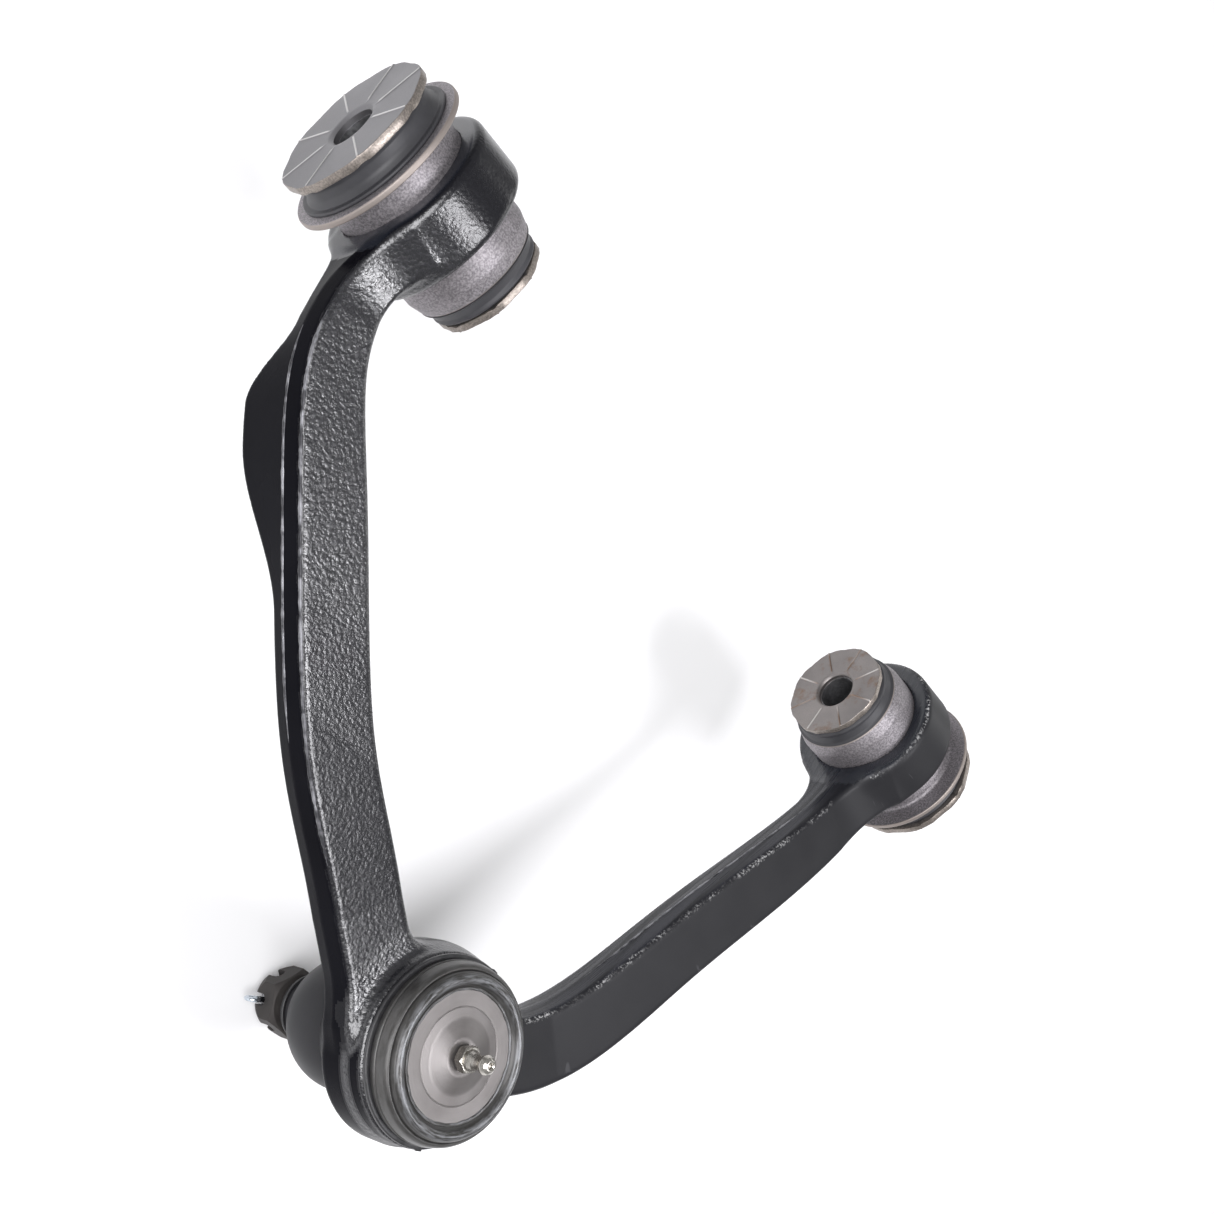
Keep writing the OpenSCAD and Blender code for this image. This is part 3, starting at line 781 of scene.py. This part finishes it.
def grease_fitting(look):
    hex_low, hex_high, flats = COVER_Z + 1.35, COVER_Z + 4.95, 8.0

    def distance(x, y, z):
        r = np.sqrt(x * x + y * y)
        height = np.abs(z - (hex_low + hex_high) / 2) - (hex_high - hex_low) / 2
        prism = rounded_box(hexagon(x, y) - flats / 2, height, 0.25)
        chamfer = (r + np.abs(z - (hex_low + hex_high) / 2) * 0.9) - 5.65
        return np.maximum(prism, chamfer * 0.75)

    nut = field_mesh("grease_hexagon", distance, (-4.7, -4.7, hex_low), (4.7, 4.7, hex_high), 0.16,
                     at_ball_joint(), refine=2, sharp=30)
    add(nut, look, "arm", "fitting_nickel", "grease_fitting")
    tip = hex_high
    outline = profile(
        (3.0, COVER_Z + 0.2), (3.0, tip), (3.5, tip, 0.2), (3.3, tip + 0.9, 0.3), (2.7, tip + 2.2, 0.6),
        (2.35, tip + 3.6, 0.8), (2.3, tip + 5.0, 0.5), (3.1, tip + 6.5, 0.7), (3.25, tip + 7.4, 0.5),
        (2.6, tip + 8.7, 0.5), (1.8, tip + 9.45, 0.3), (1.25, tip + 9.5, 0.1), (0.8, tip + 8.9),
        (0.8, COVER_Z + 0.2))
    add(lathe("grease_nose", outline, at_ball_joint(), 64), look, "arm", "fitting_nickel")


def retaining_ring(look):
    """Open ring between the boss and the rim, its ends turned out into small lugs."""
    ring_from, ring_to = math.radians(-100), math.radians(110)
    inner, outer = HOUSING_R + 0.3, BOSS_RING_R - 0.5
    low, high = BOSS_TOP + 0.1, FLANGE_BOTTOM - 0.1
    steps = 120
    section = profile((inner, low, 0.2), (outer, low, 0.5), (outer, high, 0.5), (inner, high, 0.2), steps=3)
    rows = len(section)
    points, faces = [], []
    for i in range(steps + 1):
        angle = ring_from + (ring_to - ring_from) * i / steps
        lug = 1.0 if i in (0, 1, 2, steps - 2, steps - 1, steps) else 0.0
        for r, h in section:
            r = r + 0.45 * lug * (r > inner + 1)
            points.append((r * math.cos(angle), r * math.sin(angle), h))
    for i in range(steps):
        for k in range(rows):
            a, b = i * rows + k, i * rows + (k + 1) % rows
            faces.append((a, b, b + rows, a + rows))
    faces.append(list(range(rows)))
    faces.append(list(range(steps * rows, len(points))))
    add(make_object("retaining_ring", points, faces, at_ball_joint()), look, "arm", "blackened_ring",
        "housing_retaining_ring")


BOOT_R, BOOT_CENTRE, BOOT_WALL = 23.0, -47.0, 2.0
STUD_R = 9.4
COLLAR_TOP, COLLAR_BOTTOM = -69.4, -75.0
MOUTH_R = 24.6


def dust_boot(look):
    mouth = BOSS_BOTTOM - 1.7
    outline = profile(
        (22.65, mouth - 3), (22.65, mouth), (MOUTH_R + 1.9, mouth, 0.5), (MOUTH_R + 1.9, mouth - 1.5, 0.5),
        (MOUTH_R + 0.2, mouth - 1.9, 0.3), (MOUTH_R, mouth - 4.1, 0.3), (MOUTH_R + 0.6, mouth - 4.9, 0.6))
    outline += [(BOOT_R + 0.9, mouth - 6.5), (BOOT_R + 0.4, mouth - 9)]
    outline += arc((0, BOOT_CENTRE), BOOT_R, 24, -58, 30)
    outline += profile(
        (STUD_R + 2.3, COLLAR_TOP + 0.4, 1), (STUD_R + 1.8, COLLAR_TOP - 1.8, 0.4),
        (STUD_R + 1.8, COLLAR_BOTTOM + 1.2, 0.4), (STUD_R + 2.5, COLLAR_BOTTOM + 0.4, 0.4),
        (STUD_R, COLLAR_BOTTOM))
    outline += [(STUD_R, COLLAR_TOP + 2.5)]
    outline += arc((0, BOOT_CENTRE), BOOT_R - BOOT_WALL, -58, 24, 20)
    outline += [(BOOT_R - BOOT_WALL + 0.4, mouth - 8)]
    boot = lathe("boot", outline, at_ball_joint(), 160, sharp=40)
    paint(boot, look)
    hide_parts("dust_boot")
    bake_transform(boot)


def boot_rings(look):
    clamp = BOSS_BOTTOM - 4.6
    outline = profile(
        (MOUTH_R + 0.05, clamp - 1.1), (MOUTH_R + 0.05, clamp + 1.1), (MOUTH_R + 1.0, clamp + 1.1, 0.4),
        (MOUTH_R + 1.05, clamp - 1.1, 0.4))
    add(lathe("boot_clamp", outline, at_ball_joint(), 160), look, "arm", "blackened_ring", "boot_clamp_ring")
    collar = COLLAR_BOTTOM + 2.6
    wire = arc((STUD_R + 2.35, collar - 0.5), 0.45, 0, 360, 12)[:-1]
    ring = lathe("boot_spring_ring", wire, at_ball_joint(), 96)
    add(ring, look, "boot_collar", "blackened_ring", "boot_collar_ring")


NUT_TOP, NUT_BOTTOM, NUT_FLATS = -80.0, -92.0, 22.0
PIN_AZIMUTH = math.radians(24)
PIN_Z = NUT_BOTTOM + 3.4
THREAD_R, STUD_END = 6.95, -94.5


def castle_nut(look):
    slot_r, slot_floor = 2.1, NUT_BOTTOM + 6.2

    def distance(x, y, z):
        r = np.sqrt(x * x + y * y)
        middle, half = (NUT_TOP + NUT_BOTTOM) / 2, (NUT_TOP - NUT_BOTTOM) / 2
        prism = rounded_box(hexagon(x, y) - NUT_FLATS / 2, np.abs(z - middle) - half, 0.3)
        crown = (r - 12.9) * 0.8 - (z - (NUT_BOTTOM + 5.0)) * 0.36
        seat = (r - 11.9) * 0.6 + (z - (NUT_TOP - 1.0)) * 0.8
        body = np.maximum(np.maximum(prism, crown), seat)
        body = np.maximum(body, 7.0 - r)
        for turn in (0, 60, 120):
            a = math.radians(turn)
            across = np.abs(-x * math.sin(a) + y * math.cos(a))
            up = z - (slot_floor - slot_r)
            slot = np.where(up > 0, np.sqrt(across ** 2 + up ** 2), across) - slot_r
            body = np.maximum(body, -slot)
        return body

    place = at_ball_joint() @ Matrix.Rotation(PIN_AZIMUTH, 4, "Z")
    nut = field_mesh("slotted_nut", distance, (-12.8, -12.8, NUT_BOTTOM), (12.8, 12.8, NUT_TOP),
                     0.26, place, refine=3, sharp=32)
    add(nut, look, "stud", "nut_steel", "castle_nut")


def ball_stud(look):
    """Ball, neck, taper and a real thread, in one turned piece."""
    ball_r = 14.0
    core = arc((0, BALL_Z), ball_r, 36, -57, 20)
    core += profile((7.5, BALL_Z - 12.5), (7.5, -32, 4), (9.2, -50, 2), (9.2, -58), (8.0, NUT_TOP + 1.2, 0.3),
                    (THREAD_R, NUT_TOP + 0.6, 0.2))[0:-1]
    pitch, depth = 1.5, 0.75
    turns = np.arange(NUT_TOP + 0.4, STUD_END + 0.6, -pitch / 8)
    tip = [(THREAD_R - 0.3, STUD_END + 0.4), (THREAD_R - 0.9, STUD_END)]
    columns = 96

    def point(c, r):
        angle = 2 * math.pi * c / columns
        if r < len(core):
            radius, height = core[r]
        elif r < len(core) + len(turns):
            height = turns[r - len(core)]
            phase = (height / pitch + c / columns) % 1
            groove = depth * (1 - abs(2 * phase - 1))
            radius = THREAD_R - groove * float(ramp(height, STUD_END + 0.6, STUD_END + 1.4))
        else:
            radius, height = tip[r - len(core) - len(turns)]
        return radius * math.cos(angle), radius * math.sin(angle), height

    rows = len(core) + len(turns) + len(tip)
    stud = ring_mesh("stud_body", point, columns, rows, at_ball_joint(), closed=False)
    add(stud, look, "stud", "stud_steel", "ball_stud")


def split_pin(look):
    """Doubled wire: a looped eye outside the nut, a shank, and tails bent round the nut."""
    eye_out = NUT_FLATS / 2 + 2.9
    tail_out = NUT_FLATS / 2 + 1.7
    wire = 0.85
    place = at_ball_joint() @ Matrix.Translation((0, 0, PIN_Z)) @ Matrix.Rotation(PIN_AZIMUTH, 4, "Z")
    loop = [(eye_out + 2.3 * math.cos(a), 0, 2.3 * math.sin(a))
            for a in np.radians(np.linspace(150, -150, 26))]
    upper, lower = [], []
    for sign, side in ((1, upper), (-1, lower)):
        side.append((eye_out - 4.2, 0, sign * 0.85))
        side.extend((x, 0, sign * 0.85) for x in np.linspace(eye_out - 6, -tail_out + 2.2, 8))
        bend = [(-tail_out + 2.2 - 2.2 * math.sin(a), 0, sign * (0.85 + 2.2 - 2.2 * math.cos(a)))
                for a in np.radians(np.linspace(15, 90, 7))]
        side.extend(bend)
        side.append((-tail_out, 0, sign * 5.6))
    path = list(reversed(upper)) + [(eye_out - 2.9, 0, 1.0)] + loop + [(eye_out - 2.9, 0, -1.0)] + lower
    pin = tube("split_pin", path, wire, place, 14)
    add(pin, look, "stud", "pin_zinc", "cotter_pin")


# ---------------- materials of each piece

def mottled(name, scale, colours, rough, grain=None, detail=3, **sockets):
    """A look whose colour and roughness drift between two values each.
    grain is a fine bump: its scale, detail, height in metres and strength."""
    look = Look(name, **sockets)
    drift = look.noise(scale, detail=detail)
    look.set("Base Color", look.ramp(drift, *zip((0.3, 0.7), colours)))
    look.set("Roughness", look.ramp(drift, *zip((0.3, 0.7), rough)))
    if grain:
        scale, detail, height, strength = grain
        look.bump((look.noise(scale, detail=detail), height, strength))
    return look


def black_forging(level):
    """The arm's finish: smooth sides, hammered or satin tops, banded sides behind, and worn edges. The bands'
    lighter bluish colour is painted reflection, the eyes' flat faces carry a painted bluish reflection, and
    the satin tops a painted lighter sheen.
    """
    look = Look("black forging", Specular_IOR_Level=level)
    hammer, satin, wear, face, behind = (
        look.attribute(name) for name in ("hammer", "satin", "wear", "face", "behind"))
    grain = look.noise(850, detail=2.5, roughness=0.55)
    height = look.math("ADD", grain, look.math("MULTIPLY", look.dimples(700), 0.5))
    fine = look.noise(1500, detail=3)
    wide = look.noise(28, detail=3)
    patch = look.noise(75, detail=2)
    gloss = look.ramp(wide, (0.3, (0.003, 0.003, 0.0045)), (0.7, (0.005, 0.005, 0.007)))
    # Painted reflection: lighter bluish bands along the sides behind, standing in for reflected streaks of
    # light.
    bands = look.noise(1, detail=2, vector=look.stretched((14, 14, 420)))
    painted_reflection_bands = look.ramp(bands, (0.42, (0.006, 0.0065, 0.009)), (0.6, (0.020, 0.021, 0.027)))
    # Painted reflection: the eyes' flat faces get a lighter bluish black, standing in for the light they
    # reflect.
    gloss = look.mix(face, look.mix(behind, gloss, painted_reflection_bands), (0.008, 0.010, 0.015))
    scratches = look.ramp(look.noise(1, detail=2, vector=look.stretched((60, 60, 1800), (0.4, 0.9, 0.3))),
                          (0.70, 0.0), (0.74, 1.0))
    # Painted sheen: the satin tops get a lighter grey than the black sides, standing in for light off those
    # tops, with pale scratch streaks mixed in.
    painted_top_sheen = look.ramp(wide, (0.3, (0.012, 0.012, 0.014)), (0.7, (0.018, 0.018, 0.020)))
    painted_top_sheen = look.mix(look.math("MULTIPLY", scratches, 0.5), painted_top_sheen, (0.06, 0.06, 0.065))
    black = look.ramp(grain, (0.35, (0.005, 0.005, 0.007)), (0.75, (0.012, 0.012, 0.0155)))
    colour = look.mix(hammer, look.mix(satin, gloss, painted_top_sheen), black)
    flecks = look.ramp(look.noise(900, detail=5, roughness=0.75), (0.51, 0.0), (0.57, 1.0))
    flecks = look.math("MULTIPLY", flecks, look.ramp(patch, (0.46, 0.12), (0.6, 0.9)))
    specks = look.math("MULTIPLY", wear, flecks)
    look.set("Base Color", look.mix(specks, colour, (0.42, 0.42, 0.42)))
    sides = look.mix(
        behind, look.ramp(wide, (0.3, 0.2), (0.7, 0.3)), look.ramp(bands, (0.42, 0.42), (0.6, 0.2)))
    rough = look.mix(satin, sides, look.ramp(wide, (0.3, 0.42), (0.7, 0.52)))
    look.set("Roughness", look.mix(hammer, rough, look.ramp(grain, (0.3, 0.23), (0.75, 0.32))))
    look.bump((fine, 0.00004, 0.3), (height, 0.00023, hammer))
    return look


def flash_metal_with_painted_highlight():
    look = Look("flash line", Metallic=0.5)
    fine = look.noise(900, detail=3)
    patch = look.ramp(look.noise(160, detail=3), (0.42, 0.1), (0.6, 1.0))
    # Partly worn bare metal and partly painted highlight: the pale grey patches make the thin flash lines
    # read as the bright lines the light draws along them.
    look.set("Base Color", look.mix(patch, (0.015, 0.015, 0.018), (0.22, 0.22, 0.235)))
    look.set("Roughness", look.ramp(fine, (0.3, 0.25), (0.7, 0.45)))
    look.bump((fine, 0.0002, 0.6))
    return look


def shell_steel():
    look = Look("shell steel", Metallic=0.75)
    speck = look.noise(1400, detail=2, roughness=0.7)
    wide = look.noise(60, detail=3)
    colour = look.mix(
        look.ramp(speck, (0.38, 0.0), (0.62, 1.0)), (0.16, 0.15, 0.16),
        look.ramp(wide, (0.35, (0.29, 0.27, 0.28)), (0.7, (0.35, 0.33, 0.345))))
    look.set("Base Color", look.mix(look.attribute("edge"), colour, (0.29, 0.255, 0.235)))
    look.set("Roughness", look.ramp(wide, (0.3, 0.48), (0.7, 0.6)))
    look.bump((speck, 0.0001, 0.5))
    return look


def bushing_rubber_look():
    look = Look("bushing rubber", Specular_IOR_Level=0.4)
    wide = look.noise(70, detail=3)
    fine = look.noise(1800, detail=2)
    look.set("Base Color", look.ramp(wide, (0.3, (0.026, 0.026, 0.029)), (0.7, (0.04, 0.04, 0.044))))
    look.set("Roughness", look.ramp(wide, (0.3, 0.42), (0.75, 0.58)))
    look.bump((fine, 0.00005, 0.3))
    return look


def plate_steel(name, dark, light, ridge, rust):
    look = Look(name, Metallic=0.8)
    fine = look.noise(2200, detail=2, roughness=0.6)
    wide = look.noise(55, detail=3)
    colour = look.ramp(wide, (0.3, dark), (0.7, light))
    if rust:
        stain = look.ramp(look.noise(120, detail=5, roughness=0.7), (0.54, 0.0), (0.7, rust))
        colour = look.mix(stain, colour, (0.15, 0.085, 0.045))
    colour = look.mix(look.ramp(fine, (0.4, 0.0), (0.7, 0.35)), colour, (0.13, 0.13, 0.135))
    if rust:
        ridge = look.ramp(look.noise(45, detail=1), (0.45, ridge), (0.55, (0.6, 0.58, 0.56)))
    colour = look.mix(look.math("MULTIPLY", look.attribute("ridge"), 0.75), colour, ridge)
    tan = look.ramp(look.noise(1500, detail=3), (0.35, (0.17, 0.15, 0.135)), (0.65, (0.31, 0.275, 0.245)))
    look.set("Base Color", look.mix(look.attribute("edge"), colour, tan))
    look.set("Roughness", look.ramp(wide, (0.3, 0.36), (0.7, 0.5)))
    look.bump((fine, 0.00006, 0.4))
    return look


def housing_steel():
    look = Look("housing steel", Metallic=0.5)
    wide = look.noise(90, detail=4)
    fine = look.noise(1300, detail=3)
    streaks = look.noise(1, detail=5, roughness=0.65, vector=look.circular(1500, 170))
    scuff = look.ramp(streaks, (0.42, 0.0), (0.58, 1.0))
    base = look.ramp(wide, (0.3, (0.040, 0.039, 0.037)), (0.7, (0.058, 0.056, 0.054)))
    base = look.mix(look.math("MULTIPLY", scuff, 0.25), base, (0.12, 0.12, 0.12))
    worn = look.math("MULTIPLY", look.attribute("edge"), look.math("MULTIPLY", scuff, 0.7), clamp=True)
    look.set("Base Color", look.mix(worn, base, (0.19, 0.195, 0.205)))
    look.set("Roughness", look.ramp(streaks, (0.3, 0.3), (0.7, 0.46)))
    look.bump((fine, 0.00006, 0.4), (streaks, 0.00012, 0.5))
    return look


def cover_steel():
    look = Look("cover steel", Metallic=0.7)
    wide = look.noise(80, detail=4)
    fine = look.noise(1700, detail=3)
    streaks = look.noise(1, detail=4, roughness=0.6, vector=look.circular(1300, 60))
    colour = look.ramp(wide, (0.3, (0.160, 0.150, 0.146)), (0.7, (0.210, 0.199, 0.195)))
    look.set("Base Color", look.mix(look.math("MULTIPLY", streaks, 0.35), colour, (0.12, 0.11, 0.105)))
    look.set("Roughness", look.ramp(wide, (0.3, 0.36), (0.7, 0.48)))
    look.bump((fine, 0.00005, 0.35), (streaks, 0.00005, 0.5))
    return look


def turned_steel():
    return mottled(
        "turned steel", 900, ((0.22, 0.22, 0.23), (0.34, 0.34, 0.35)), (0.3, 0.45),
        grain=(900, 2, 0.00005, 0.3), detail=2, Metallic=0.9)


# ---------------- the whole object

looks = {
    "shell": shell_steel(),
    "rubber": bushing_rubber_look(),
    "sleeve": turned_steel(),
    "plate": plate_steel("plate steel", (0.140, 0.137, 0.143), (0.185, 0.182, 0.189), (0.62, 0.61, 0.60), 0),
    "worn_plate": plate_steel(
        "worn plate steel", (0.16, 0.147, 0.142), (0.25, 0.23, 0.22), (0.20, 0.13, 0.09), 0.8),
}
nickel_look = mottled(
    "nickel", 500, ((0.44, 0.42, 0.385), (0.56, 0.54, 0.50)), (0.2, 0.3), Metallic=1.0)
black_look = mottled(
    "blackened steel", 200, ((0.012, 0.012, 0.013), (0.028, 0.028, 0.03)), (0.28, 0.45),
    Specular_IOR_Level=0.5)
boot_look = mottled(
    "boot rubber", 60, ((0.009, 0.009, 0.011), (0.015, 0.015, 0.017)), (0.42, 0.55),
    grain=(1500, 2, 0.00004, 0.3), Specular_IOR_Level=0.3)
nut_look = mottled(
    "phosphate", 160, ((0.028, 0.025, 0.024), (0.045, 0.041, 0.039)), (0.5, 0.62),
    grain=(1600, 3, 0.00005, 0.4), Metallic=0.2, Specular_IOR_Level=0.25)
pin_look = mottled("blue zinc", 700, ((0.50, 0.56, 0.62), (0.70, 0.76, 0.82)), (0.18, 0.3), Metallic=1.0)
plastic = mottled("bearing plastic", 150, ((0.66, 0.62, 0.5), (0.74, 0.71, 0.6)), (0.4, 0.5))

forged_arm([black_forging(level) for level in GLOSS_LEVELS])
flash_lines(flash_metal_with_painted_highlight())
for end in (FRONT, REAR):
    bushing(end, looks)
ball_housing(housing_steel())
cover(cover_steel())
grease_fitting(nickel_look)
retaining_ring(black_look)
dust_boot(boot_look)
boot_rings(black_look)
castle_nut(nut_look)
ball_stud(turned_steel())
split_pin(pin_look)
for node, look in (("preload_washer", black_look), ("upper_bearing", plastic), ("lower_bearing", plastic),
                   ("grease_check_ball", nickel_look)):
    paint(frame["nodes"][node], look)


# ---------------- camera, light and floor

CAMERA_AT = Vector((0.33845, 0.28822, 0.40601))
CAMERA_RIGHT, CAMERA_UP = Vector((-0.56424, -0.42715, 0.70653)), Vector((0.594, -0.80437, -0.01193))
LENS, SENSOR = 48.456, 36


def camera():
    """From above and in front, rolled so that the pivot axis falls from the upper left to the right."""
    data = bpy.data.cameras.new("camera")
    data.sensor_width = SENSOR
    data.lens = LENS
    turn = Matrix((CAMERA_RIGHT, CAMERA_UP, CAMERA_RIGHT.cross(CAMERA_UP))).transposed()
    made = bpy.data.objects.new("camera", data)
    made.matrix_world = Matrix.Translation(CAMERA_AT) @ turn.to_4x4()
    bpy.context.scene.collection.objects.link(made)
    bpy.context.scene.camera = made


def area_light(name, direction, distance, size, power, colour=(1, 1, 1)):
    data = bpy.data.lights.new(name, "AREA")
    data.shape = "RECTANGLE"
    data.size, data.size_y = size
    data.energy = power
    data.color = colour
    aim = Vector((0, 0.1, 0))
    way = Vector(direction).normalized()
    made = bpy.data.objects.new(name, data)
    made.rotation_mode = "QUATERNION"
    made.rotation_quaternion = way.to_track_quat("Z", "Y")
    made.location = aim + way * distance
    bpy.context.scene.collection.objects.link(made)


def floor():
    side, height = 6.0, cad_low.z - 0.001
    mesh = bpy.data.meshes.new("floor")
    corners = [(x * side, y * side, height) for x, y in ((-1, -1), (1, -1), (1, 1), (-1, 1))]
    mesh.from_pydata(corners, [], [(0, 1, 2, 3)])
    made = bpy.data.objects.new("floor", mesh)
    bpy.context.scene.collection.objects.link(made)
    look = Look("floor", Roughness=0.9, Specular_IOR_Level=0.1)
    look.set("Base Color", look.ramp(look.noise(2), (0.3, (0.88, 0.88, 0.88)), (0.7, (0.9, 0.9, 0.9))))
    mesh.materials.append(look.material)


def world():
    made = bpy.data.worlds.new("world")
    made.use_nodes = True
    background = made.node_tree.nodes["Background"]
    background.inputs["Color"].default_value = (1, 1, 1, 1)
    background.inputs["Strength"].default_value = 0.35
    bpy.context.scene.world = made


camera()
world()
floor()
area_light("key", (-0.34, 0.08, 0.93), 1.3, (0.45, 0.4), 12, (0.97, 0.965, 1.0))
area_light("fill", (0.55, 0.45, 0.72), 1.2, (0.9, 0.9), 19, (0.98, 0.975, 1.0))
area_light("rim", (-0.6, -0.7, 0.35), 1.4, (1.0, 0.4), 3)
bpy.context.scene.view_settings.view_transform = "Standard"
